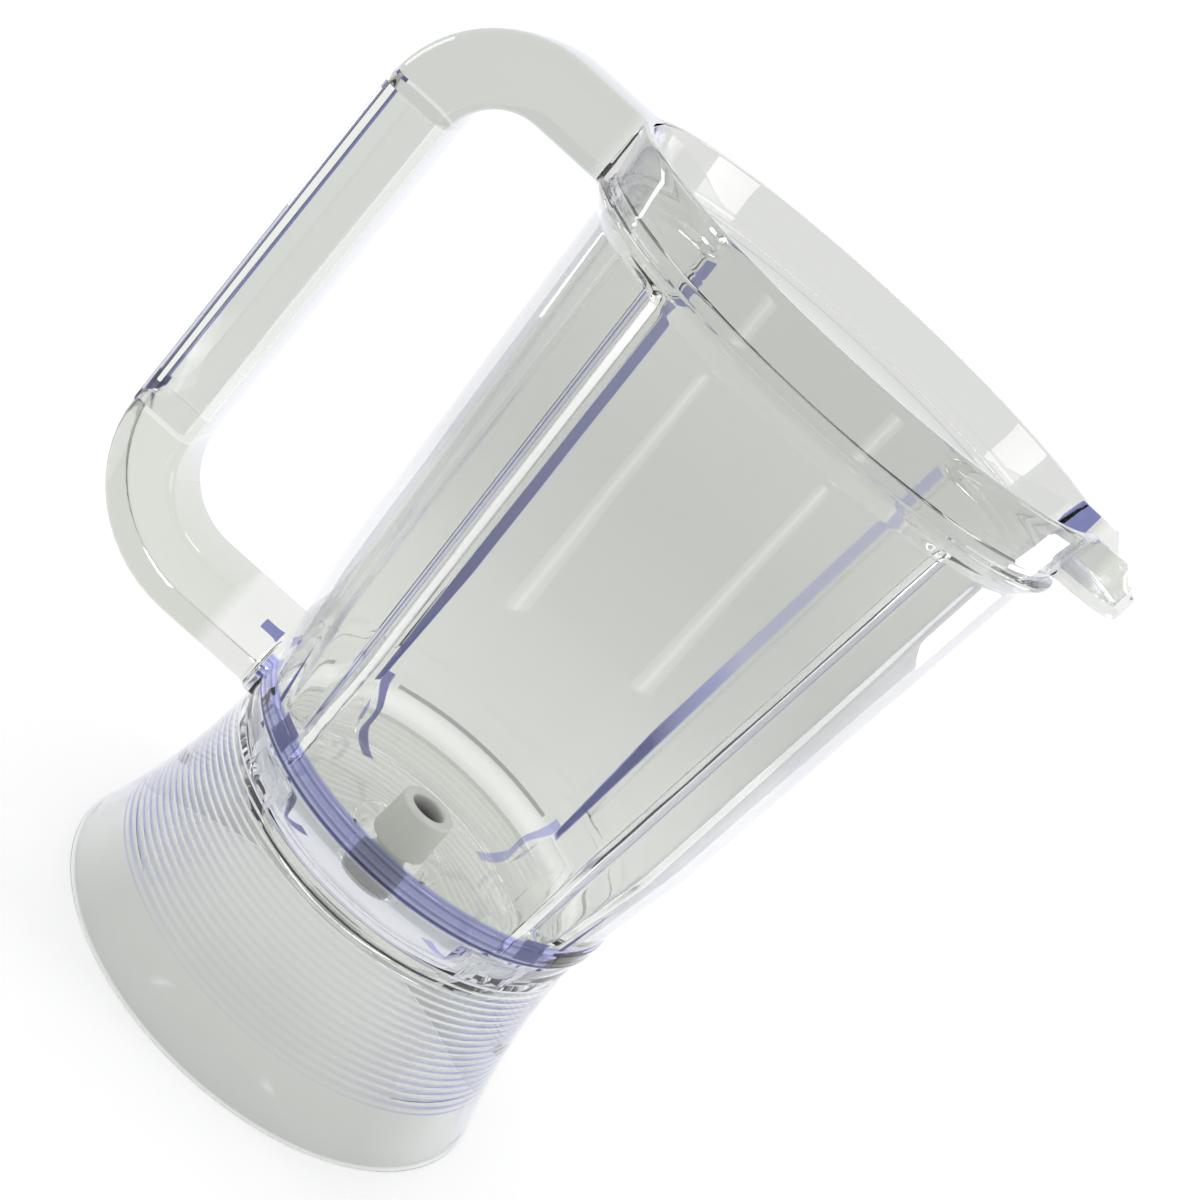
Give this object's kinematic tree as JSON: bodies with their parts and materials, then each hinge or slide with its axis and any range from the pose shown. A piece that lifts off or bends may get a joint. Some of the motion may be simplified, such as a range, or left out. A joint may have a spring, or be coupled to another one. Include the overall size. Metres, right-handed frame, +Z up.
{
  "type": "blender jar",
  "caption": "Clear tapered blender jar with flow ribs, a collar with a pouring spout, a D-shaped handle, a flared hollow skirt and a spindle bush through its floor.",
  "frame": {"origin": "on the jar's axis, at the plane the foot of the skirt stands on", "axes": "+Z up along the jar's axis, +X toward the spout, -X toward the handle"},
  "size_m": [0.2074, 0.14, 0.227],
  "materials": {
    "clear_plastic": "clear, polished",
    "bush_plastic": "satin"
  },
  "bodies": {
    "root": {"jar_body": "clear_plastic", "spindle_bush": "bush_plastic"}
  },
  "joints": []
}
